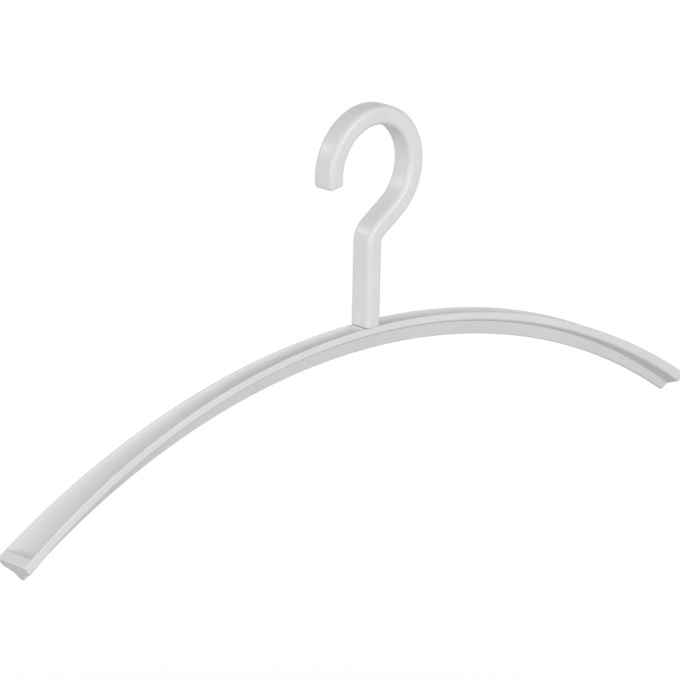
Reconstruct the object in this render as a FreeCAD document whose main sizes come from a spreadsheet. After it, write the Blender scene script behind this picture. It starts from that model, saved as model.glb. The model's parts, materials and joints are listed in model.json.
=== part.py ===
import FreeCAD, Part
import math
import os

import Sketcher

# Arched coat hanger with a moulded question-mark hook that turns in the arm.
# Frame: origin at the centre of the hook's loop, on its mid-plane; +X along the
# arm, +Y to the back, +Z up. Every length is in millimetres.

doc = FreeCAD.newDocument("Hanger")

# ---------------------------------------------------------------- dimensions
SIZES = {
    # arm: an arched bar with a trough along its top and a keel under it
    "arm_length": 450.0,          # tip to tip, measured level
    "arm_radius": 402.0,          # of the arch, at the crest of the rims
    "flange_width": 11.0,         # at the middle of the arm
    "flange_end_width": 19.8,     # at the two ends
    "flange_height": 3.4,         # of the rim's outer face, at the middle
    "flange_end_height": 5.2,     # of the same face at the ends
    "flange_corner": 0.5,         # rounding of the rim's upper edge
    "flange_foot_round": 1.6,     # and of its lower edge, less where it overhangs less
    "rim_width": 0.9,             # of the crest left beside the trough
    "trough_depth": 3.2,          # at the middle
    "trough_end_depth": 4.2,
    "end_lip": 5.5,               # solid length that closes the trough
    "keel_depth": 12.0,           # crest of the rims to the keel's lower edge
    "keel_root_width": 8.4,       # at the middle
    "keel_root_end_width": 6.4,
    "keel_edge_width": 2.6,
    "keel_edge_round": 1.0,
    "keel_root_round": 0.8,       # fillet under the flange, less where it is narrow
    "underside_fall": 1.0,        # of the flange's underside towards the keel, at the middle
    "underside_end_fall": 2.8,
    "boss_wall": 0.9,             # round the bush's socket
    # hook: rounded rectangular bar, 9.5 in its plane and 12.5 deep
    "loop_radius": 26.9,          # to the middle of the bar
    "hook_drop": 78.95,           # centre of the loop to the stem's foot
    "bar_width": 9.5,
    "bar_depth": 12.5,
    "bar_corner": 2.5,
    "neck_slope": 35.0,           # of the neck below the horizontal, degrees
    "neck_radius": 8.0,           # bend between stem and neck
    "tip_drop": 4.6,              # tip of the hook below the loop's centre
    "tip_round": 1.4,
    # swivel: steel core of the hook, carried in a bush
    "core_diameter": 4.0,
    "core_clearance": 0.05,
    "core_end_rise": 10.0,        # upper end of the core above the loop's centre
    "foot_gap": 0.3,              # foot of the stem above the crest
    "washer_thickness": 0.5,
    "bush_wall": 0.75,
    "bush_collar": 0.7,
    "bush_collar_height": 0.8,
    "bush_length": 3.6,           # below its collar
    "bush_clearance": 0.05,
    "ring_thickness": 0.6,
    "ring_width": 1.05,
    "ring_gap_angle": 70.0,
    "ring_groove": 0.5,           # depth of the core's groove
    "ring_clearance": 0.05,
    "core_end_length": 0.8,       # of core beyond the ring
    "socket_clearance": 0.5,
}

sheet = doc.addObject("Spreadsheet::Sheet", "Sizes")
for row, (alias, number) in enumerate(SIZES.items(), start=1):
    sheet.set("A%d" % row, alias)
    sheet.set("B%d" % row, repr(number))
    sheet.setAlias("B%d" % row, alias)
doc.recompute()


def size(text):
    """Value of an expression over the sheet, as a plain number."""
    found = sheet.evalExpression(text)
    return float(getattr(found, "Value", found))


# Lengths that follow from the sheet.
CREST = "(-(Sizes.hook_drop + Sizes.foot_gap))"
END_ANGLE = "asin(Sizes.arm_length / 2 / Sizes.arm_radius)"
CORE_RADIUS = "(Sizes.core_diameter / 2)"
BUSH_BORE = "(%s + Sizes.bush_clearance)" % CORE_RADIUS
BUSH_RADIUS = "(%s + Sizes.bush_wall)" % BUSH_BORE
COLLAR_RADIUS = "(%s + Sizes.bush_collar)" % BUSH_RADIUS
SEAT_RADIUS = "(%s + Sizes.bush_clearance)" % COLLAR_RADIUS
COLLAR_TOP = "(-Sizes.hook_drop - Sizes.washer_thickness)"
COLLAR_FOOT = "(%s - Sizes.bush_collar_height)" % COLLAR_TOP
BUSH_END = "(%s - Sizes.bush_length)" % COLLAR_FOOT
RING_TOP = "(%s - Sizes.ring_clearance)" % BUSH_END
RING_FOOT = "(%s - Sizes.ring_thickness)" % RING_TOP
CORE_FOOT = "(%s - Sizes.core_end_length)" % RING_FOOT
SOCKET_FOOT = "(%s - Sizes.socket_clearance)" % CORE_FOOT
GROOVE_RADIUS = "(%s - Sizes.ring_groove)" % CORE_RADIUS


# ------------------------------------------------------------ drawing helpers
def new_body(label):
    body = doc.addObject("PartDesign::Body", label)
    body.Label = label
    return body


def origin_plane(body, role):
    return [f for f in body.Origin.OriginFeatures if f.Role == role][0]


def new_sketch(body, name, role, height=None):
    """Sketch on one of the body's own planes, raised by an expression."""
    sketch = body.newObject("Sketcher::SketchObject", name)
    sketch.AttachmentSupport = [(origin_plane(body, role), "")]
    sketch.MapMode = "FlatFace"
    if height is not None:
        sketch.setExpression("AttachmentOffset.Base.z", height)
    return sketch


def bind(sketch, constraint, text):
    """Add a dimension and tie it to the sheet."""
    number = sketch.addConstraint(constraint)
    sketch.setExpression("Constraints[%d]" % number, text)


def place_point(sketch, geo, pos, x_text, y_text):
    """Hold a point at signed distances from the sketch's origin."""
    here = (size(x_text), size(y_text))
    for kind, axis_line, text, at in (("DistanceX", -2, x_text, here[0]),
                                      ("DistanceY", -1, y_text, here[1])):
        if abs(at) < 1e-9:
            sketch.addConstraint(Sketcher.Constraint("PointOnObject", geo, pos, axis_line))
        else:
            bind(sketch, Sketcher.Constraint(kind, -1, 1, geo, pos, at), text)


def outline(sketch, corners):
    """Closed outline through corners (x, y, rounding); a rounding may be None."""
    points = [FreeCAD.Vector(size(x), size(y), 0) for x, y, _ in corners]
    radii = [size(r) if r else 0.0 for _, _, r in corners]
    count = len(points)
    setbacks = []
    for i in range(count):
        into = (points[i] - points[i - 1]).normalize()
        out = (points[(i + 1) % count] - points[i]).normalize()
        setbacks.append(radii[i] * math.tan(into.getAngle(out) / 2) if radii[i] else 0.0)
    lines = []
    for i in range(count):
        a, b = points[i], points[(i + 1) % count]
        along = (b - a).normalize()
        start = a + along * setbacks[i]
        end = b - along * setbacks[(i + 1) % count]
        lines.append(sketch.addGeometry(Part.LineSegment(start, end), False))
    for i, (x_text, y_text, r_text) in enumerate(corners):
        before, after = lines[i - 1], lines[i]
        if not r_text:
            sketch.addConstraint(Sketcher.Constraint("Coincident", before, 2, after, 1))
            place_point(sketch, after, 1, x_text, y_text)
            continue
        into = (points[i] - points[i - 1]).normalize()
        out = (points[(i + 1) % count] - points[i]).normalize()
        start = points[i] - into * setbacks[i]
        end = points[i] + out * setbacks[i]
        inward = (out - into).normalize()
        half_turn = into.getAngle(out) / 2
        centre = points[i] + inward * (radii[i] / math.cos(half_turn))
        middle = centre - inward * radii[i]
        arc = sketch.addGeometry(Part.Arc(start, middle, end), False)
        left_turn = into.cross(out).z > 0
        first, last = (1, 2) if left_turn else (2, 1)
        sketch.addConstraint(Sketcher.Constraint("Tangent", before, 2, arc, first))
        sketch.addConstraint(Sketcher.Constraint("Tangent", after, 1, arc, last))
        bind(sketch, Sketcher.Constraint("Radius", arc, radii[i]), r_text)
        corner = sketch.addGeometry(Part.Point(points[i]), True)
        sketch.addConstraint(Sketcher.Constraint("PointOnObject", corner, 1, before))
        sketch.addConstraint(Sketcher.Constraint("PointOnObject", corner, 1, after))
        place_point(sketch, corner, 1, x_text, y_text)


def circle(sketch, radius_text):
    """Circle about the sketch's origin."""
    ring = Part.Circle(FreeCAD.Vector(0, 0, 0), FreeCAD.Vector(0, 0, 1), size(radius_text))
    geo = sketch.addGeometry(ring, False)
    sketch.addConstraint(Sketcher.Constraint("Coincident", geo, 3, -1, 1))
    bind(sketch, Sketcher.Constraint("Radius", geo, size(radius_text)), radius_text)


def revolved(body, kind, name, corners, angle=None):
    """Turn an outline, drawn on XZ as (radius, height), about the Z axis."""
    sketch = new_sketch(body, name + "Outline", "XZ_Plane")
    outline(sketch, corners)
    feature = body.newObject(kind, name)
    feature.Profile = sketch
    feature.ReferenceAxis = (sketch, ["V_Axis"])
    feature.Angle = 360.0
    if angle is not None:
        feature.setExpression("Angle", angle)
        feature.Midplane = True
    doc.recompute()
    return feature


# ------------------------------------------------------------------------ arm
def arch_plane(body, name, fraction_text):
    """Sketch square to the arch, with the crest of the rims at its origin.

    The fraction runs from -1 at the left end, through 0 at the middle, to 1.
    """
    angle = "(%s * (%s))" % (END_ANGLE, fraction_text)
    sketch = new_sketch(body, name, "YZ_Plane", "Sizes.arm_radius * sin(%s)" % angle)
    rise = "%s - Sizes.arm_radius * (1 - cos(%s))" % (CREST, angle)
    sketch.setExpression("AttachmentOffset.Base.y", rise)
    sketch.AttachmentOffset = FreeCAD.Placement(
        FreeCAD.Vector(0, 0, 0), FreeCAD.Rotation(FreeCAD.Vector(1, 0, 0), 1.0))
    sketch.setExpression("AttachmentOffset.Rotation.Angle", angle)
    return sketch


def grown(at_middle, at_end, fraction_text):
    """A size that changes with the square of the way from the middle to the end."""
    return "(%s + (%s - %s) * (%s) ^ 2)" % (at_middle, at_end, at_middle, fraction_text)


def bar_corners(fraction_text):
    """Flange with square rims over a keel that tapers to a rounded edge."""
    width = grown("Sizes.flange_width", "Sizes.flange_end_width", fraction_text)
    half = "(%s / 2)" % width
    face = grown("Sizes.flange_height", "Sizes.flange_end_height", fraction_text)
    root_width = grown("Sizes.keel_root_width", "Sizes.keel_root_end_width", fraction_text)
    root = "(%s / 2)" % root_width
    fall = grown("Sizes.underside_fall", "Sizes.underside_end_fall", fraction_text)
    overhang = "(%s - %s)" % (half, root)
    root_depth = "-(%s + %s)" % (face, fall)
    root_round = "min(Sizes.keel_root_round; 0.4 * %s)" % overhang
    foot_round = "min(Sizes.flange_foot_round; 0.6 * %s)" % overhang
    edge = "Sizes.keel_edge_width / 2"
    right = [
        (edge, "-Sizes.keel_depth", "Sizes.keel_edge_round"),
        (root, root_depth, root_round),
        (half, "-" + face, foot_round),
        (half, "0", "Sizes.flange_corner"),
    ]
    left = [("-" + x if not x.startswith("Sizes") else "-(%s)" % x, y, r)
            for x, y, r in reversed(right)]
    return right + left


def trough_sketch(body, name, fraction_text):
    """Section of the trough's blank: an arc for its floor, open above the crest."""
    width = grown("Sizes.flange_width", "Sizes.flange_end_width", fraction_text)
    inner = "(%s / 2 - Sizes.rim_width)" % width
    sagitta = grown("Sizes.trough_depth", "Sizes.trough_end_depth", fraction_text)
    sketch = arch_plane(body, name, fraction_text)
    reach, depth = size(inner), size(sagitta)
    floor = Part.Arc(FreeCAD.Vector(-reach, 0, 0), FreeCAD.Vector(0, -depth, 0),
                     FreeCAD.Vector(reach, 0, 0))
    upper = [FreeCAD.Vector(reach, 0, 0), FreeCAD.Vector(reach, depth, 0),
             FreeCAD.Vector(-reach, depth, 0), FreeCAD.Vector(-reach, 0, 0)]
    arc = sketch.addGeometry(floor, False)
    sides = [sketch.addGeometry(Part.LineSegment(a, b), False)
             for a, b in zip(upper, upper[1:])]
    sketch.addConstraint(Sketcher.Constraint("Coincident", arc, 2, sides[0], 1))
    sketch.addConstraint(Sketcher.Constraint("Coincident", sides[0], 2, sides[1], 1))
    sketch.addConstraint(Sketcher.Constraint("Coincident", sides[1], 2, sides[2], 1))
    sketch.addConstraint(Sketcher.Constraint("Coincident", sides[2], 2, arc, 1))
    place_point(sketch, sides[0], 1, inner, "0")
    place_point(sketch, sides[0], 2, inner, sagitta)
    place_point(sketch, sides[2], 1, "-" + inner, sagitta)
    place_point(sketch, sides[2], 2, "-" + inner, "0")
    sweep = "(%s ^ 2 + %s ^ 2) / (2 * %s)" % (inner, sagitta, sagitta)
    bind(sketch, Sketcher.Constraint("Radius", arc, size(sweep)), sweep)
    return sketch


def lofted(body, kind, name, sketches):
    feature = body.newObject(kind, name)
    feature.Profile = sketches[0]
    feature.Sections = [(sketch, [""]) for sketch in sketches[1:]]
    feature.Ruled = False
    feature.Closed = False
    doc.recompute()
    return feature


ARM_STATIONS = 8        # lengths of arm between neighbouring cross-sections
TROUGH_STATIONS = 4     # the same along each half of the trough


def make_arm():
    arm = new_body("arm")
    sections = []
    for i in range(ARM_STATIONS + 1):
        fraction = str(2 * i / ARM_STATIONS - 1)
        section = arch_plane(arm, "BarSection%d" % i, fraction)
        outline(section, bar_corners(fraction))
        sections.append(section)
    lofted(arm, "PartDesign::AdditiveLoft", "Bar", sections)

    # Trough, in two halves that stop at the stem's pad and at the end lips.
    first = "asin(Sizes.bar_width / 2 / Sizes.arm_radius) / %s" % END_ANGLE
    last = "1 - asin(Sizes.end_lip / Sizes.arm_radius) / %s" % END_ANGLE
    for side, sign in (("Right", "1"), ("Left", "-1")):
        sections = []
        for i in range(TROUGH_STATIONS + 1):
            share = i / TROUGH_STATIONS
            fraction = "(%s * ((%s) * %s + (%s) * %s))" % (sign, first, 1 - share, last, share)
            sections.append(trough_sketch(arm, "Trough%s%d" % (side, i), fraction))
        lofted(arm, "PartDesign::SubtractiveLoft", "Trough" + side, sections)

    # Boss under the pad, running out into the keel, and the socket in it.
    boss_radius = "(%s + Sizes.boss_wall)" % BUSH_RADIUS
    boss_top = "(%s - Sizes.flange_height / 2)" % CREST
    keel_edge = "(%s - Sizes.keel_depth + Sizes.keel_edge_round)" % CREST
    revolved(arm, "PartDesign::Revolution", "Boss", [
        ("0", boss_top, None),
        (boss_radius, boss_top, None),
        (boss_radius, SOCKET_FOOT, None),
        ("Sizes.keel_edge_width / 2", keel_edge, None),
        ("0", keel_edge, None),
    ])
    above = "(%s + Sizes.bush_collar_height)" % CREST
    revolved(arm, "PartDesign::Groove", "Socket", [
        ("0", above, None),
        (SEAT_RADIUS, above, None),
        (SEAT_RADIUS, COLLAR_FOOT, None),
        (BUSH_RADIUS, COLLAR_FOOT, None),
        (BUSH_RADIUS, SOCKET_FOOT, None),
        ("0", SOCKET_FOOT, None),
    ])
    return arm


# ----------------------------------------------------------------------- hook
def hook_path(body, name, foot_text, tip_text):
    """Centre line: stem, bend, neck, and the loop round to its tip.

    foot_text is the height of its lower end and tip_text that of its upper end,
    which is on the left side of the loop.
    """
    sketch = new_sketch(body, name, "XZ_Plane")
    loop, slope, bend = (size("Sizes." + s) for s in ("loop_radius", "neck_slope",
                                                      "neck_radius"))
    slope = math.radians(slope)
    foot, tip = size(foot_text), size(tip_text)
    vector = FreeCAD.Vector
    corner = vector(0, -loop / math.cos(slope), 0)
    neck = vector(math.cos(slope), math.sin(slope), 0)
    setback = bend * math.tan((math.pi / 2 - slope) / 2)
    bend_start = corner - vector(0, setback, 0)
    bend_end = corner + neck * setback
    bend_centre = bend_start + vector(bend, 0, 0)
    toward = (corner - bend_centre).normalize()
    touch = vector(loop * math.sin(slope), -loop * math.cos(slope), 0)
    tip_point = vector(-math.sqrt(loop ** 2 - tip ** 2), tip, 0)
    stem = sketch.addGeometry(Part.LineSegment(vector(0, foot, 0), bend_start), False)
    turn = sketch.addGeometry(
        Part.Arc(bend_start, bend_centre + toward * bend, bend_end), False)
    rise = sketch.addGeometry(Part.LineSegment(bend_end, touch), False)
    ring = sketch.addGeometry(Part.Arc(touch, vector(0, loop, 0), tip_point), False)
    add = sketch.addConstraint
    place_point(sketch, stem, 1, "0", foot_text)
    add(Sketcher.Constraint("Vertical", stem))
    add(Sketcher.Constraint("Tangent", stem, 2, turn, 2))
    add(Sketcher.Constraint("Tangent", turn, 1, rise, 1))
    add(Sketcher.Constraint("Tangent", rise, 2, ring, 1))
    add(Sketcher.Constraint("Coincident", ring, 3, -1, 1))
    bind(sketch, Sketcher.Constraint("Radius", ring, loop), "Sizes.loop_radius")
    bind(sketch, Sketcher.Constraint("Radius", turn, bend), "Sizes.neck_radius")
    bind(sketch, Sketcher.Constraint("Angle", -1, 1, rise, 1, slope), "Sizes.neck_slope")
    bind(sketch, Sketcher.Constraint("DistanceY", -1, 1, ring, 2, tip), tip_text)
    return sketch


def piped(body, kind, name, profile, path):
    feature = body.newObject(kind, name)
    feature.Profile = profile
    feature.Spine = path
    doc.recompute()
    return feature


def end_face_edges(shape, point):
    """Names of the edges round the flat face whose middle is nearest a point."""
    flats = [f for f in shape.Faces if f.Surface.TypeId == "Part::GeomPlane"]
    face = min(flats, key=lambda f: f.CenterOfMass.distanceToPoint(point))
    return ["Edge%d" % (i + 1) for i, edge in enumerate(shape.Edges)
            if any(edge.isSame(other) for other in face.Edges)]


def make_hook():
    hook = new_body("hook")
    foot = "-Sizes.hook_drop"
    tip = "-Sizes.tip_drop"
    path = hook_path(hook, "BarPath", foot, tip)
    profile = new_sketch(hook, "BarProfile", "XY_Plane", foot)
    wide, deep = "Sizes.bar_width / 2", "Sizes.bar_depth / 2"
    outline(profile, [(x, y, "Sizes.bar_corner") for x, y in (
        (wide, "-" + deep), (wide, deep), ("-" + wide, deep), ("-" + wide, "-" + deep))])
    bar = piped(hook, "PartDesign::AdditivePipe", "Bar", profile, path)

    loop, drop = size("Sizes.loop_radius"), size("Sizes.tip_drop")
    tip_point = FreeCAD.Vector(-math.sqrt(loop ** 2 - drop ** 2), 0, -drop)
    rounding = hook.newObject("PartDesign::Fillet", "TipRounding")
    rounding.Base = (bar, end_face_edges(bar.Shape, tip_point))
    rounding.setExpression("Radius", "Sizes.tip_round")
    doc.recompute()

    # Channel that the steel core fills.
    inner_tip = "Sizes.core_end_rise - Sizes.core_clearance"
    channel_path = hook_path(hook, "ChannelPath", foot, inner_tip)
    channel = new_sketch(hook, "ChannelProfile", "XY_Plane", foot)
    circle(channel, "%s + Sizes.core_clearance" % CORE_RADIUS)
    piped(hook, "PartDesign::SubtractivePipe", "Channel", channel, channel_path)
    return hook


def make_core():
    core = new_body("hook_core")
    path = hook_path(core, "CorePath", CORE_FOOT, "Sizes.core_end_rise")
    profile = new_sketch(core, "CoreProfile", "XY_Plane", CORE_FOOT)
    circle(profile, CORE_RADIUS)
    piped(core, "PartDesign::AdditivePipe", "Rod", profile, path)
    groove_top = "(%s + Sizes.ring_clearance)" % RING_TOP
    groove_foot = "(%s - Sizes.ring_clearance)" % RING_FOOT
    beyond = "(%s + Sizes.ring_groove)" % CORE_RADIUS
    revolved(core, "PartDesign::Groove", "RingGroove", [
        (GROOVE_RADIUS, groove_foot, None),
        (beyond, groove_foot, None),
        (beyond, groove_top, None),
        (GROOVE_RADIUS, groove_top, None),
    ])
    return core


# --------------------------------------------------------------------- swivel
def make_washer():
    washer = new_body("thrust_washer")
    inner = "(%s + Sizes.bush_clearance)" % CORE_RADIUS
    revolved(washer, "PartDesign::Revolution", "Washer", [
        (inner, COLLAR_TOP, None),
        (COLLAR_RADIUS, COLLAR_TOP, None),
        (COLLAR_RADIUS, "-Sizes.hook_drop", None),
        (inner, "-Sizes.hook_drop", None),
    ])
    return washer


def make_bush():
    bush = new_body("swivel_bush")
    revolved(bush, "PartDesign::Revolution", "Bush", [
        (BUSH_BORE, BUSH_END, None),
        (BUSH_RADIUS, BUSH_END, None),
        (BUSH_RADIUS, COLLAR_FOOT, None),
        (COLLAR_RADIUS, COLLAR_FOOT, None),
        (COLLAR_RADIUS, COLLAR_TOP, None),
        (BUSH_BORE, COLLAR_TOP, None),
    ])
    return bush


def make_ring():
    ring = new_body("retaining_ring")
    inner = "(%s + Sizes.ring_clearance)" % GROOVE_RADIUS
    outer = "(%s + Sizes.ring_width)" % inner
    revolved(ring, "PartDesign::Revolution", "Ring", [
        (inner, RING_FOOT, None),
        (outer, RING_FOOT, None),
        (outer, RING_TOP, None),
        (inner, RING_TOP, None),
    ], "360 - Sizes.ring_gap_angle")
    return ring


# ---------------------------------------------------------------------- build
pieces = [make_arm(), make_hook(), make_core(), make_washer(), make_bush(), make_ring()]
doc.recompute()

for item in doc.Objects:
    if "Invalid" in item.State or "Error" in item.State:
        raise RuntimeError("%s failed: %s" % (item.Label, item.State))
for piece in pieces:
    if piece.Shape.isNull() or not piece.Shape.isValid():
        raise RuntimeError("%s has no valid shape" % piece.Label)

os.makedirs("parts", exist_ok=True)
for piece in pieces:
    piece.Shape.exportStep("parts/%s.step" % piece.Label)
    box = piece.Shape.BoundBox
    print("%-16s %d solid  %9.1f mm3  z %.2f to %.2f" % (
        piece.Label, len(piece.Shape.Solids), piece.Shape.Volume, box.ZMin, box.ZMax))
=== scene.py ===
import json
import math

import bmesh
import bpy
from mathutils import Matrix, Vector


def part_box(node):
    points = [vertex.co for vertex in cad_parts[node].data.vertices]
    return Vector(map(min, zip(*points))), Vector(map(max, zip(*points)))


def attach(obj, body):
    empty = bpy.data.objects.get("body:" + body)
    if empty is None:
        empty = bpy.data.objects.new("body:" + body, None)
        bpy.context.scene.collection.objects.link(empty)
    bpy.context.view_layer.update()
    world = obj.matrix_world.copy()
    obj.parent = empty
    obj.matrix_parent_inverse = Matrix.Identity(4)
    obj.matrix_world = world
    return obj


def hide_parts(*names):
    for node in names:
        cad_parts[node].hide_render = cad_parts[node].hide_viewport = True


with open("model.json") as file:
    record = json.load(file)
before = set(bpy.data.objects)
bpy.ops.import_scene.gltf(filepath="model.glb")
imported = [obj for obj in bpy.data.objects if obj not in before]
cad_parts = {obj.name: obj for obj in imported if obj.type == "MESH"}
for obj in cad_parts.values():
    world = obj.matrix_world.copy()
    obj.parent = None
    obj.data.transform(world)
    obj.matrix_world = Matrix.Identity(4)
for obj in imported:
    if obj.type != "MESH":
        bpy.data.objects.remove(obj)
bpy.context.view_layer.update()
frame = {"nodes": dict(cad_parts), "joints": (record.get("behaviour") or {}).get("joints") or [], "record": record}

# An arched coat hanger in satin white plastic, with a question-mark hook that turns
# in the arm. The hanger's sizes are in millimetres, and its meshes are scaled once, as
# they are made. Materials, floor, lamps and camera are in metres.

MM = 0.001

# ------------------------------------------------------------------ sizes, from the frame
record = frame["record"]
rail_seat = next(m for m in record["mounts"] if m["name"] == "rail_seat")
swivel = next(j for j in frame["joints"] if j["name"] == "hook_swivel")
arm_low, arm_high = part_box("arm")
hook_low, hook_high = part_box("hook")
core_low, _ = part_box("hook_core")
_, bush_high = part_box("swivel_bush")

ARM_LENGTH = (arm_high.x - arm_low.x) / MM
FLANGE_END_WIDTH = (arm_high.y - arm_low.y) / MM
BAR_DEPTH = (hook_high.y - hook_low.y) / MM
LOOP_INSIDE = rail_seat["dims"]["r_mm"]
STEM_FOOT = swivel["pos_m"][2] / MM

# ------------------------------------------------------------------------ sizes, of the arm
FOOT_GAP = 0.3              # stem's foot above the crest of the arm
CREST = STEM_FOOT - FOOT_GAP
ARM_RADIUS = 402.0          # of the arch, at the crest of the rims
FLANGE_WIDTH = 11.0         # at the middle
FLANGE_HEIGHT = 3.4         # of the rim's face, at the middle
FLANGE_END_HEIGHT = 5.2
FLANGE_CORNER = 0.5         # rounding of the rim's outer edge
FLANGE_FOOT_ROUND = 1.6     # rounding of its lower edge, less where it overhangs less
RIM_WIDTH = 0.9             # of the crest beside the trough
RIM_INNER_ROUND = 0.3
TROUGH_DEPTH = 3.2          # at the middle
TROUGH_END_DEPTH = 4.2
TROUGH_END_RUN = 1.0        # length over which the trough's end wall rises
END_LIP = 5.5               # solid length beyond the trough
END_ROUND = 0.4             # of the two end faces' edges
KEEL_DEPTH = 12.0
KEEL_ROOT_WIDTH = 8.4       # at the middle
KEEL_ROOT_END_WIDTH = 6.4
KEEL_EDGE_WIDTH = 2.6
KEEL_EDGE_ROUND = 1.0
KEEL_ROOT_ROUND = 0.8       # less where the flange overhangs less
UNDERSIDE_FALL = 1.0        # of the flange's underside towards the keel, at the middle
UNDERSIDE_END_FALL = 2.8
BUSH_SEAT_CLEARANCE = 0.05
BUSH_RADIUS = 2.8
BUSH_COLLAR_HEIGHT = 0.8
SOCKET_CLEARANCE = 0.5      # under the core's end

# ----------------------------------------------------------------------- sizes, of the hook
BAR_WIDTH = 9.5
BAR_CORNER = 2.5
LOOP_RADIUS = LOOP_INSIDE + BAR_WIDTH / 2
NECK_SLOPE = math.radians(35.0)
NECK_RADIUS = 8.0           # bend between stem and neck
TIP_DROP = 4.6              # tip below the loop's centre
TIP_ROUND = 1.4
FOOT_ROUND = 0.3
WITNESS_RISE = 0.05         # line where the two halves of the mould met
WITNESS_WIDTH = 0.3
CHANNEL_RADIUS = 2.05       # round the steel core
CORE_END_RISE = 10.0        # end of the channel above the loop's centre


# ------------------------------------------------------------------------ outlines, skins
def rounded_line(corners):
    """Points along a line through corners (x, y, radius, count).

    A corner with a radius becomes an arc of count points, set tangent to the runs
    on both sides. A corner without one stays a single point.
    """
    points = []
    for i, (x, y, radius, count) in enumerate(corners):
        here = Vector((x, y))
        if radius == 0:
            points.append(here)
            continue
        before = (here - Vector(corners[i - 1][:2])).normalized()
        after = (Vector(corners[i + 1][:2]) - here).normalized()
        turn = math.atan2(before.cross(after), before.dot(after))
        start = here - before * (radius * math.tan(abs(turn) / 2))
        side = Vector((-before.y, before.x)) * math.copysign(radius, turn)
        centre = start + side
        for k in range(count):
            swung = Matrix.Rotation(turn * k / (count - 1), 2) @ side
            points.append(centre - swung)
    return points


def drawn_in(points, distance):
    """The closed outline moved inwards; it runs anticlockwise."""
    if distance == 0:
        return points
    moved = []
    for i, point in enumerate(points):
        along = points[(i + 1) % len(points)] - points[i - 1]
        inward = Vector((-along.y, along.x)).normalized()
        moved.append(point + inward * distance)
    return moved


def quarter_steps(radius, count):
    """(advance, inset) pairs along a quarter-round edge, from its start to its end."""
    steps = []
    for k in range(count + 1):
        angle = math.pi / 2 * k / count
        steps.append((radius * math.sin(angle), radius * (1 - math.cos(angle))))
    return steps


SHARP_ANGLE = math.radians(40)


def skin(name, rings):
    """Closed mesh object through rings of as many points each, in millimetres."""
    mesh = bmesh.new()
    loops = [[mesh.verts.new(point * MM) for point in ring] for ring in rings]
    count = len(loops[0])
    for first, second in zip(loops, loops[1:]):
        for i in range(count):
            j = (i + 1) % count
            mesh.faces.new((first[i], first[j], second[j], second[i]))
    mesh.faces.new(loops[0])
    mesh.faces.new(loops[-1])
    bmesh.ops.recalc_face_normals(mesh, faces=mesh.faces)
    data = bpy.data.meshes.new(name)
    mesh.to_mesh(data)
    mesh.free()
    piece = bpy.data.objects.new(name, data)
    bpy.context.scene.collection.objects.link(piece)
    return piece


def even_shading(piece):
    """Smooth shading that keeps the flat faces flat between their rounded edges."""
    piece.data.shade_smooth()
    piece.data.set_sharp_from_angle(angle=SHARP_ANGLE)
    modifier = piece.modifiers.new("EvenShading", "WEIGHTED_NORMAL")
    modifier.keep_sharp = True


# ------------------------------------------------------------------------------------- arm
END_ANGLE = math.asin(ARM_LENGTH / 2 / ARM_RADIUS)
PAD_ANGLE = math.asin(BAR_WIDTH / 2 / ARM_RADIUS)
LIP_ANGLE = END_ANGLE - math.asin(END_LIP / ARM_RADIUS)
RAMP_ANGLE = TROUGH_END_RUN / ARM_RADIUS
ROOT_ROUND_SHARE = 0.4      # of the flange's overhang, the most that the keel's root round
FOOT_ROUND_SHARE = 0.6      # and the rim's lower round take

KEEL_ROUND_POINTS = 7
RIM_ROUND_POINTS = 8
RIM_INNER_POINTS = 6
FLOOR_STEPS = 12            # across each half of the trough's floor
PAD_STEPS = 6               # along each half of the pad under the stem
RAMP_STEPS = 6
ARM_STEPS = 90              # along each half of the trough
END_ROUND_STEPS = 4
SOCKET_SIDES = 48


def smooth(share):
    """0 to 1 with a level start and end."""
    return share * share * (3 - 2 * share)


def arm_section(angle, openness):
    """Outline of the arm across its length, as (y, height over the crest).

    The angle is from the middle of the arch. Openness runs from 0, where the trough is
    closed, to 1, where it has its full depth.
    """
    share = (angle / END_ANGLE) ** 2
    half = (FLANGE_WIDTH + (FLANGE_END_WIDTH - FLANGE_WIDTH) * share) / 2
    face = FLANGE_HEIGHT + (FLANGE_END_HEIGHT - FLANGE_HEIGHT) * share
    root = (KEEL_ROOT_WIDTH + (KEEL_ROOT_END_WIDTH - KEEL_ROOT_WIDTH) * share) / 2
    fall = UNDERSIDE_FALL + (UNDERSIDE_END_FALL - UNDERSIDE_FALL) * share
    inner = half - RIM_WIDTH
    depth = TROUGH_DEPTH + (TROUGH_END_DEPTH - TROUGH_DEPTH) * share
    floor_radius = (inner ** 2 + depth ** 2) / (2 * depth)
    floor_angle = math.asin(inner / floor_radius)
    floor = []
    for k in range(1, FLOOR_STEPS + 1):
        swing = floor_angle * (1 - k / FLOOR_STEPS)
        height = floor_radius - depth - floor_radius * math.cos(swing)
        floor.append((floor_radius * math.sin(swing), height, 0, 1))
    overhang = half - root
    root_round = min(KEEL_ROOT_ROUND, ROOT_ROUND_SHARE * overhang)
    foot_round = min(FLANGE_FOOT_ROUND, FOOT_ROUND_SHARE * overhang)
    right = rounded_line([
        (0, -KEEL_DEPTH, 0, 1),
        (KEEL_EDGE_WIDTH / 2, -KEEL_DEPTH, KEEL_EDGE_ROUND, KEEL_ROUND_POINTS),
        (root, -(face + fall), root_round, KEEL_ROUND_POINTS),
        (half, -face, foot_round, RIM_ROUND_POINTS),
        (half, 0, FLANGE_CORNER, RIM_ROUND_POINTS),
        (inner, 0, RIM_INNER_ROUND, RIM_INNER_POINTS),
    ] + floor)
    trough_start = len(right) - FLOOR_STEPS - RIM_INNER_POINTS
    for point in right[trough_start:]:
        point.y *= openness
    left = [Vector((-point.x, point.y)) for point in reversed(right[1:-1])]
    return right + left


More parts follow.
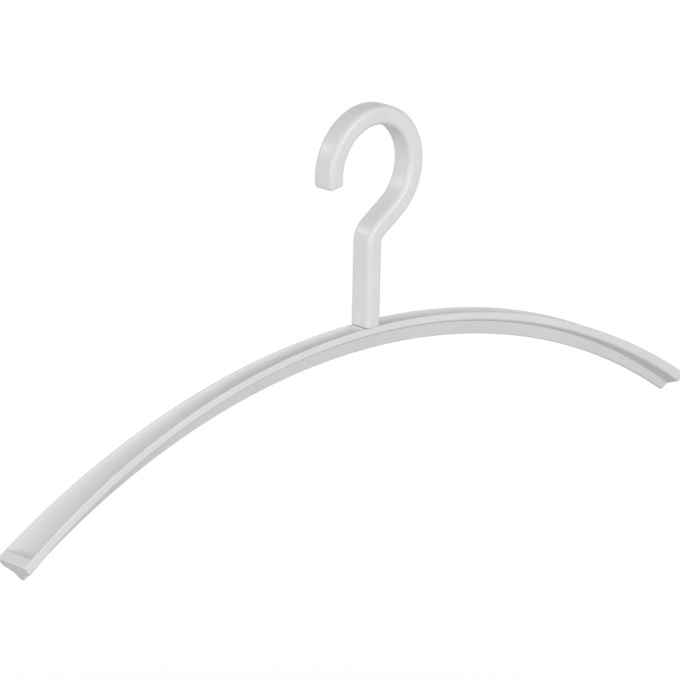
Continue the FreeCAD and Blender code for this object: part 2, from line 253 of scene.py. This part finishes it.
def arm_ring(angle, openness, inset):
    """The section, drawn in by an inset, in its place on the arch."""
    outward = Vector((math.sin(angle), 0, math.cos(angle)))
    centre = Vector((0, 0, CREST - ARM_RADIUS))
    ring = []
    for point in drawn_in(arm_section(angle, openness), inset):
        ring.append(centre + outward * (ARM_RADIUS + point.y) + Vector((0, point.x, 0)))
    return ring


def half_arm_stations():
    """(angle, openness, inset) from the middle of the arm to its end."""
    stations = [(PAD_ANGLE * k / PAD_STEPS, 0, 0) for k in range(PAD_STEPS)]
    for k in range(RAMP_STEPS + 1):
        share = k / RAMP_STEPS
        stations.append((PAD_ANGLE + RAMP_ANGLE * share, smooth(share), 0))
    first, last = PAD_ANGLE + RAMP_ANGLE, LIP_ANGLE - RAMP_ANGLE
    for k in range(1, ARM_STEPS):
        stations.append((first + (last - first) * k / ARM_STEPS, 1, 0))
    for k in range(RAMP_STEPS + 1):
        share = k / RAMP_STEPS
        stations.append((last + RAMP_ANGLE * share, smooth(1 - share), 0))
    for advance, inset in quarter_steps(END_ROUND, END_ROUND_STEPS):
        stations.append((END_ANGLE - (END_ROUND - advance) / ARM_RADIUS, 0, inset))
    return stations


def make_arm():
    """One skin from the left end to the right, with the socket cut into its middle."""
    right = half_arm_stations()
    left = [(-angle, openness, inset) for angle, openness, inset in reversed(right[1:])]
    arm = skin("arm_moulding", [arm_ring(*station) for station in left + right])
    cut_socket(arm)
    even_shading(arm)
    return arm


def cut_socket(arm):
    """Stepped hole for the bush and the end of the core, open at the crest."""
    collar = bush_high.x / MM + BUSH_SEAT_CLEARANCE
    step = bush_high.z / MM - BUSH_COLLAR_HEIGHT
    foot = core_low.z / MM - SOCKET_CLEARANCE
    above = CREST + FOOT_GAP
    outline = [(BUSH_RADIUS, foot), (BUSH_RADIUS, step), (collar, step), (collar, above)]
    angles = [2 * math.pi * k / SOCKET_SIDES for k in range(SOCKET_SIDES)]
    rings = []
    for radius, height in outline:
        rings.append([Vector((radius * math.cos(a), radius * math.sin(a), height))
                      for a in angles])
    cutter = skin("socket_cutter", rings)
    cut = arm.modifiers.new("Socket", "BOOLEAN")
    cut.operation = "DIFFERENCE"
    cut.solver = "EXACT"
    cut.object = cutter
    whole = arm.data
    graph = bpy.context.evaluated_depsgraph_get()
    arm.data = bpy.data.meshes.new_from_object(arm.evaluated_get(graph))
    arm.modifiers.clear()
    bpy.data.meshes.remove(whole)
    bpy.data.objects.remove(cutter)


# ------------------------------------------------------------------------------------ hook
CORNER_POINTS = 9
TIP_ROUND_STEPS = 6
FOOT_ROUND_STEPS = 3
BODY_SPACING = (2.0, 0.9)       # from ring to ring, on the straights and on the curves
CHANNEL_SPACING = (4.0, 1.6)


class HookPath:
    """Centre line of the hook in the XZ plane, measured by length from the stem's foot."""

    def __init__(self):
        corner = -LOOP_RADIUS / math.cos(NECK_SLOPE)
        setback = NECK_RADIUS * math.tan((math.pi / 2 - NECK_SLOPE) / 2)
        self.stem = corner - setback - STEM_FOOT
        self.bend = NECK_RADIUS * (math.pi / 2 - NECK_SLOPE)
        self.neck = LOOP_RADIUS * math.tan(NECK_SLOPE) - setback
        self.bend_height = corner - setback

    def loop_length(self, height):
        """Length along the loop to a height on its left side."""
        first = NECK_SLOPE - math.pi / 2
        last = math.pi - math.asin(height / LOOP_RADIUS)
        return LOOP_RADIUS * (last - first)

    def at(self, length):
        """(point, direction) at a length along the line, as x and z."""
        if length <= self.stem:
            return Vector((0, STEM_FOOT + length)), Vector((0, 1))
        length -= self.stem
        if length <= self.bend:
            swing = length / NECK_RADIUS
            centre = Vector((NECK_RADIUS, self.bend_height))
            spoke = Vector((-math.cos(swing), math.sin(swing)))
            return centre + spoke * NECK_RADIUS, Vector((math.sin(swing), math.cos(swing)))
        length -= self.bend
        slope = Vector((math.cos(NECK_SLOPE), math.sin(NECK_SLOPE)))
        touch = Vector((slope.y, -slope.x)) * LOOP_RADIUS
        if length <= self.neck:
            return touch - slope * (self.neck - length), slope
        swing = NECK_SLOPE - math.pi / 2 + (length - self.neck) / LOOP_RADIUS
        spoke = Vector((math.cos(swing), math.sin(swing)))
        return spoke * LOOP_RADIUS, Vector((-spoke.y, spoke.x))

    def up_to(self, length, straight_step, curved_step):
        """Lengths from the foot to a given length, closer together on the curves.

        The neck's bend is tight, so its steps are half those of the loop.
        """
        marks = [0, self.stem, self.stem + self.bend, self.stem + self.bend + self.neck]
        spans = list(zip(marks, marks[1:] + [length]))
        steps = (straight_step, curved_step / 2, straight_step, curved_step)
        lengths = [0]
        for (start, end), step in zip(spans, steps):
            count = max(1, math.ceil((end - start) / step))
            lengths += [start + (end - start) * k / count for k in range(1, count + 1)]
        return lengths


def placed(path, length, outline):
    """An outline (across, back) set square to the path at a length along it."""
    point, direction = path.at(length)
    across = Vector((direction.y, -direction.x))
    return [Vector((point.x + across.x * a, b, point.y + across.y * a))
            for a, b in outline]


def bar_outline():
    """Rounded rectangle with the mould's witness line on its two narrow faces."""
    wide, deep = BAR_WIDTH / 2 - WITNESS_RISE, BAR_DEPTH / 2
    line = WITNESS_WIDTH / 2
    half = rounded_line([
        (wide, -line, 0, 1),
        (wide + WITNESS_RISE, 0, 0, 1),
        (wide, line, 0, 1),
        (wide, deep, BAR_CORNER, CORNER_POINTS),
        (-wide, deep, BAR_CORNER, CORNER_POINTS),
        (-wide, line, 0, 1),
    ])[:-1]
    return half + [-point for point in half]


def circle_outline(radius, like):
    """Circle with a point beside each point of another outline."""
    return [point.normalized() * radius for point in like]


def make_hook():
    """One skin: down the core's channel, round the stem's foot and up to the tip."""
    path = HookPath()
    bar = bar_outline()
    channel = circle_outline(CHANNEL_RADIUS, bar)
    tip = path.stem + path.bend + path.neck + path.loop_length(-TIP_DROP)
    blind = path.stem + path.bend + path.neck + path.loop_length(CORE_END_RISE)
    inside = path.up_to(blind, *CHANNEL_SPACING)
    outside = path.up_to(tip - TIP_ROUND, *BODY_SPACING)
    rings = [placed(path, s, channel) for s in reversed(inside)]
    for advance, inset in reversed(quarter_steps(FOOT_ROUND, FOOT_ROUND_STEPS)):
        rings.append(placed(path, FOOT_ROUND - advance, drawn_in(bar, inset)))
    rings += [placed(path, s, bar) for s in outside if s > FOOT_ROUND]
    for advance, inset in quarter_steps(TIP_ROUND, TIP_ROUND_STEPS)[1:]:
        rings.append(placed(path, tip - TIP_ROUND + advance, drawn_in(bar, inset)))
    hook = skin("hook_moulding", rings)
    even_shading(hook)
    return hook


# -------------------------------------------------------------------------------- materials
def colour_mix(nodes, links, factor, first, second):
    """The mix of two colours, each given as red, green and blue or as a socket."""
    node = nodes.new("ShaderNodeMix")
    node.data_type = "RGBA"
    links.new(factor, node.inputs["Factor"])
    sockets = [i for i in node.inputs if i.type == "RGBA"]
    for socket, value in zip(sockets, (first, second)):
        if isinstance(value, tuple):
            socket.default_value = (*value, 1)
        else:
            links.new(value, socket)
    return next(o for o in node.outputs if o.type == "RGBA")


def grey(level):
    """The same red, green and blue."""
    return (level, level, level)


class Shader:
    """A node material on one Principled surface, in the object's own coordinates."""

    def __init__(self, name):
        self.material = bpy.data.materials.new(name)
        self.material.use_nodes = True
        self.nodes = self.material.node_tree.nodes
        self.links = self.material.node_tree.links
        self.surface = self.nodes["Principled BSDF"]
        self.place = self.nodes.new("ShaderNodeTexCoord").outputs["Object"]

    def set(self, **values):
        """Plain numbers on the surface's own sockets."""
        for name, value in values.items():
            self.surface.inputs[name.replace("_", " ")].default_value = value

    def noise(self, per_metre, detail=2.0, stretch=(1, 1, 1), roughness=0.5):
        """Noise with so many features a metre, stretched along the axes."""
        mapping = self.nodes.new("ShaderNodeMapping")
        mapping.inputs["Scale"].default_value = stretch
        texture = self.nodes.new("ShaderNodeTexNoise")
        texture.inputs["Scale"].default_value = per_metre
        texture.inputs["Detail"].default_value = detail
        texture.inputs["Roughness"].default_value = roughness
        self.links.new(self.place, mapping.inputs["Vector"])
        self.links.new(mapping.outputs["Vector"], texture.inputs["Vector"])
        return texture.outputs["Fac"]

    def ranged(self, value, low, high, start=0.3, end=0.7):
        """The value's span start to end, spread from low to high."""
        node = self.nodes.new("ShaderNodeMapRange")
        for name, number in (("From Min", start), ("From Max", end), ("To Min", low),
                             ("To Max", high)):
            node.inputs[name].default_value = number
        self.links.new(value, node.inputs["Value"])
        return node.outputs["Result"]

    def mixed(self, factor, first, second):
        return colour_mix(self.nodes, self.links, factor, first, second)

    def maths(self, operation, first, second):
        """An operation on two values, each a number or a socket."""
        node = self.nodes.new("ShaderNodeMath")
        node.operation = operation
        for socket, value in zip(node.inputs, (first, second)):
            if isinstance(value, (int, float)):
                socket.default_value = value
            else:
                self.links.new(value, socket)
        return node.outputs[0]

    def near_line(self, point, full, none):
        """1 within full metres of the line along Y through a point, 0 beyond none."""
        flat = self.nodes.new("ShaderNodeMapping")
        flat.inputs["Scale"].default_value = (1, 0, 1)
        self.links.new(self.place, flat.inputs["Vector"])
        distance = self.nodes.new("ShaderNodeVectorMath")
        distance.operation = "DISTANCE"
        self.links.new(flat.outputs["Vector"], distance.inputs[0])
        distance.inputs[1].default_value = point
        return self.ranged(distance.outputs["Value"], 1, 0, start=full, end=none)

    def rounded_edges(self):
        """1 on convex edges, 0 on flat and hollow surfaces."""
        pointiness = self.nodes.new("ShaderNodeNewGeometry").outputs["Pointiness"]
        return self.ranged(pointiness, 0, 1, start=FLAT_POINTINESS, end=EDGE_POINTINESS)

    def bump(self, height, depth, under=None):
        """Relief as deep as depth, in metres, on top of another relief."""
        node = self.nodes.new("ShaderNodeBump")
        node.inputs["Distance"].default_value = depth
        self.links.new(height, node.inputs["Height"])
        if under is not None:
            self.links.new(under, node.inputs["Normal"])
        return node.outputs["Normal"]

    def wire(self, **sources):
        """Links into the surface's sockets."""
        for name, source in sources.items():
            self.links.new(source, self.surface.inputs[name.replace("_", " ")])


WHITE_DARKER = grey(0.745)
WHITE_LIGHTER = grey(0.785)
WHITE_WORN = (0.725, 0.725, 0.72)
FLAT_POINTINESS = 0.505     # up to here a surface counts as flat
EDGE_POINTINESS = 0.535     # and from here as an edge
SEAT_WORN = 0.004           # metres from the top of the loop's inside, rubbed by the rail
SEAT_CLEAN = 0.011          # and where the rubbing has faded out
WEAR_POLISH = 0.12          # taken off the roughness where it is fully worn
WAVE_DEPTH = 0.00006        # metres, as the two below
GRAIN_DEPTH = 0.000012
SCRATCH_DEPTH = 0.00001
SCRATCH_SHADE = 0.8         # of the steel's colour, in its scratches


def white_plastic(name):
    """Satin white moulding: fine spark-eroded grain over faint flow waves.

    Its edges, and the seat that runs on the rail, are rubbed smooth and a little grey.
    """
    shader = Shader(name)
    shader.set(IOR=1.49, Subsurface_Weight=0.06, Subsurface_Scale=0.0012)
    clouds = shader.noise(per_metre=28, detail=3.0)
    base = shader.mixed(shader.ranged(clouds, 0, 1), WHITE_DARKER, WHITE_LIGHTER)
    grain = shader.noise(per_metre=3600, roughness=0.6)
    waves = shader.noise(per_metre=150, detail=1.0)
    handling = shader.noise(per_metre=75, detail=4.0, roughness=0.6)
    seat = shader.near_line((0, 0, LOOP_INSIDE * MM), SEAT_WORN, SEAT_CLEAN)
    patches = shader.ranged(shader.noise(per_metre=420, detail=3.0), low=0.35, high=1)
    worn = shader.maths("MAXIMUM", shader.rounded_edges(), seat)
    worn = shader.maths("MULTIPLY", worn, patches)
    base = shader.mixed(worn, base, WHITE_WORN)
    polish = shader.maths("MULTIPLY", worn, WEAR_POLISH)
    unworn = shader.ranged(handling, low=0.32, high=0.43)
    roughness = shader.maths("SUBTRACT", unworn, polish)
    relief = shader.bump(waves, WAVE_DEPTH)
    relief = shader.bump(grain, GRAIN_DEPTH, under=relief)
    shader.wire(Base_Color=base, Roughness=roughness, Normal=relief)
    return shader.material


def drawn_steel(name, colour, roughness):
    """Drawn wire: scratches that run along the rod."""
    shader = Shader(name)
    shader.set(Metallic=1.0)
    lines = shader.noise(per_metre=5200, detail=3.0, stretch=(1, 1, 0.01))
    darker = tuple(SCRATCH_SHADE * part for part in colour)
    base = shader.mixed(lines, colour, darker)
    shader.wire(Base_Color=base, Normal=shader.bump(lines, SCRATCH_DEPTH),
                Roughness=shader.ranged(lines, low=roughness - 0.06, high=roughness + 0.08))
    return shader.material


def turned_brass(name):
    """Turned on a lathe: fine rings one above another."""
    shader = Shader(name)
    shader.set(Metallic=1.0)
    rings = shader.noise(per_metre=9000, detail=1.0, stretch=(0.001, 0.001, 1))
    tarnish = shader.noise(per_metre=600, detail=3.0)
    bright, dull = (0.72, 0.52, 0.22), (0.60, 0.40, 0.16)
    base = shader.mixed(shader.ranged(tarnish, 0, 1), bright, dull)
    shader.wire(Base_Color=base, Normal=shader.bump(rings, SCRATCH_DEPTH),
                Roughness=shader.ranged(tarnish, low=0.22, high=0.36))
    return shader.material


def natural_nylon(name):
    """Unpigmented washer plastic, slightly see-through and finely grained."""
    shader = Shader(name)
    shader.set(Subsurface_Weight=0.3, Subsurface_Scale=0.0008)
    patches = shader.noise(per_metre=900)
    darker, lighter = (0.66, 0.64, 0.57), (0.70, 0.69, 0.63)
    base = shader.mixed(shader.ranged(patches, 0, 1), darker, lighter)
    grain = shader.noise(per_metre=6000)
    shader.wire(Base_Color=base, Normal=shader.bump(grain, SCRATCH_DEPTH),
                Roughness=shader.ranged(grain, low=0.42, high=0.55))
    return shader.material


# ------------------------------------------------------------------------------- the hanger
plastic = white_plastic("white_moulding")

arm_moulding = make_arm()
arm_moulding.data.materials.append(plastic)
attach(arm_moulding, "arm")
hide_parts("arm")

hook_moulding = make_hook()
hook_moulding.data.materials.append(plastic)
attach(hook_moulding, "hook")
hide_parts("hook")

steel = drawn_steel("core_steel", colour=(0.56, 0.57, 0.58), roughness=0.30)
spring = drawn_steel("spring_steel", colour=(0.30, 0.30, 0.31), roughness=0.38)
INNER_FINISHES = {
    "hook_core": steel,
    "retaining_ring": spring,
    "swivel_bush": turned_brass("bush_brass"),
    "thrust_washer": natural_nylon("washer_plastic"),
}
for node_name, finish in INNER_FINISHES.items():
    materials = frame["nodes"][node_name].data.materials
    materials.clear()
    materials.append(finish)

# -------------------------------------------------------------------------------- the stage
FLOOR_HEIGHT = -0.62        # metres, well below the hanging arm
FLOOR_RADIUS = 6.0
FLOOR_SIDES = 96
FLOOR_GREY = grey(0.82)
FLOOR_BOUNCE = grey(0.36)   # its colour for the light that it throws back
SHADED_RADIUS = 0.45        # of the floor that takes light and shadow
WHITE_RADIUS = 0.95         # beyond this the floor is plain white
AMBIENT = 0.40              # of the world, for the light it casts
SEEN_WHITE = 1.0            # of the world, where it is the background
LAMP_DISTANCE = 1.8         # metres from the middle of the arm


def is_seen_ray(nodes, links):
    """1 for rays that show the background: from the camera, or by gloss or glass."""
    path = nodes.new("ShaderNodeLightPath")
    total = path.outputs["Is Camera Ray"]
    for name in ("Is Glossy Ray", "Is Transmission Ray"):
        largest = nodes.new("ShaderNodeMath")
        largest.operation = "MAXIMUM"
        links.new(total, largest.inputs[0])
        links.new(path.outputs[name], largest.inputs[1])
        total = largest.outputs[0]
    return total


def floor_material():
    """Matt grey near the hanger, plain white for seen rays further out.

    The light that it throws back is weaker than its own grey would give.
    """
    material = bpy.data.materials.new("pale_floor")
    material.use_nodes = True
    material.cycles.emission_sampling = "NONE"      # its white lights nothing
    nodes, links = material.node_tree.nodes, material.node_tree.links
    nodes.clear()
    distance = nodes.new("ShaderNodeVectorMath")
    distance.operation = "LENGTH"
    links.new(nodes.new("ShaderNodeTexCoord").outputs["Object"], distance.inputs[0])
    fade = nodes.new("ShaderNodeMapRange")
    fade.interpolation_type = "SMOOTHSTEP"
    fade.inputs["From Min"].default_value = SHADED_RADIUS
    fade.inputs["From Max"].default_value = WHITE_RADIUS
    links.new(distance.outputs["Value"], fade.inputs["Value"])
    share = nodes.new("ShaderNodeMath")
    share.operation = "MULTIPLY"
    links.new(is_seen_ray(nodes, links), share.inputs[0])
    links.new(fade.outputs["Result"], share.inputs[1])
    thrown_back = nodes.new("ShaderNodeLightPath").outputs["Is Diffuse Ray"]
    matt = nodes.new("ShaderNodeBsdfDiffuse")
    colour = colour_mix(nodes, links, thrown_back, FLOOR_GREY, FLOOR_BOUNCE)
    links.new(colour, matt.inputs["Color"])
    white = nodes.new("ShaderNodeEmission")
    mix = nodes.new("ShaderNodeMixShader")
    output = nodes.new("ShaderNodeOutputMaterial")
    links.new(share.outputs[0], mix.inputs[0])
    links.new(matt.outputs[0], mix.inputs[1])
    links.new(white.outputs[0], mix.inputs[2])
    links.new(mix.outputs[0], output.inputs["Surface"])
    return material


def make_floor():
    shape = bmesh.new()
    bmesh.ops.create_circle(shape, cap_ends=True, segments=FLOOR_SIDES, radius=FLOOR_RADIUS)
    data = bpy.data.meshes.new("floor")
    shape.to_mesh(data)
    shape.free()
    data.materials.append(floor_material())
    floor = bpy.data.objects.new("floor", data)
    floor.location.z = FLOOR_HEIGHT
    bpy.context.scene.collection.objects.link(floor)


def make_world():
    world = bpy.data.worlds.new("studio")
    bpy.context.scene.world = world
    world.use_nodes = True
    nodes, links = world.node_tree.nodes, world.node_tree.links
    nodes.clear()
    mix = nodes.new("ShaderNodeMixShader")
    output = nodes.new("ShaderNodeOutputWorld")
    links.new(is_seen_ray(nodes, links), mix.inputs[0])
    for socket, strength in zip(mix.inputs[1:], (AMBIENT, SEEN_WHITE)):
        background = nodes.new("ShaderNodeBackground")
        background.inputs["Color"].default_value = (*grey(1), 1)
        background.inputs["Strength"].default_value = strength
        links.new(background.outputs[0], socket)
    links.new(mix.outputs[0], output.inputs["Surface"])


def away_from_crest(azimuth, elevation):
    """Direction at an azimuth, 0 in front, and an elevation, both in radians."""
    return Vector((math.sin(azimuth) * math.cos(elevation),
                   -math.cos(azimuth) * math.cos(elevation),
                   math.sin(elevation)))


def softbox(name, azimuth, elevation, side, power):
    """Square lamp that faces the middle of the arm; degrees, metres and watts."""
    data = bpy.data.lights.new(name, "AREA")
    data.size = side
    data.energy = power
    lamp = bpy.data.objects.new(name, data)
    away = away_from_crest(math.radians(azimuth), math.radians(elevation))
    lamp.location = Vector((0, 0, CREST * MM)) + away * LAMP_DISTANCE
    lamp.rotation_euler = away.to_track_quat("Z", "Y").to_euler()
    bpy.context.scene.collection.objects.link(lamp)


make_floor()
make_world()
softbox("front_box", azimuth=8, elevation=14, side=1.0, power=14)
softbox("left_box", azimuth=-62, elevation=8, side=1.0, power=13)
softbox("low_box", azimuth=-130, elevation=-20, side=1.0, power=4)
softbox("bend_box", azimuth=-138, elevation=26, side=0.3, power=4.5)

# ------------------------------------------------------------------------------- the camera
PHOTO_SIDE = 680            # pixels along each side of the photograph
CREST_PIXEL = (365.3, 325.1)    # where the middle of the crest is in it
CAMERA_AZIMUTH = math.radians(-44.85)
CAMERA_ELEVATION = math.radians(17.31)
CAMERA_ROLL = math.radians(1.37)
CAMERA_DISTANCE = 2.264
PIXELS_PER_MM = 2.057       # at the middle of the crest
SENSOR_WIDTH = 36.0         # millimetres, inside the camera


def make_camera():
    lens = bpy.data.cameras.new("camera")
    lens.sensor_width = SENSOR_WIDTH
    lens.lens = PIXELS_PER_MM / MM * CAMERA_DISTANCE / PHOTO_SIDE * SENSOR_WIDTH
    lens.shift_x = (PHOTO_SIDE / 2 - CREST_PIXEL[0]) / PHOTO_SIDE
    lens.shift_y = (CREST_PIXEL[1] - PHOTO_SIDE / 2) / PHOTO_SIDE
    back = away_from_crest(CAMERA_AZIMUTH, CAMERA_ELEVATION)
    right = Vector((math.cos(CAMERA_AZIMUTH), math.sin(CAMERA_AZIMUTH), 0))
    up = back.cross(right)
    level = Matrix((right, up, back)).transposed()
    turn = level @ Matrix.Rotation(CAMERA_ROLL, 3, "Z")
    place = Vector((0, 0, CREST * MM)) + back * CAMERA_DISTANCE
    camera = bpy.data.objects.new("camera", lens)
    camera.matrix_world = Matrix.Translation(place) @ turn.to_4x4()
    bpy.context.scene.collection.objects.link(camera)
    bpy.context.scene.camera = camera


make_camera()
bpy.context.scene.view_settings.view_transform = "Standard"
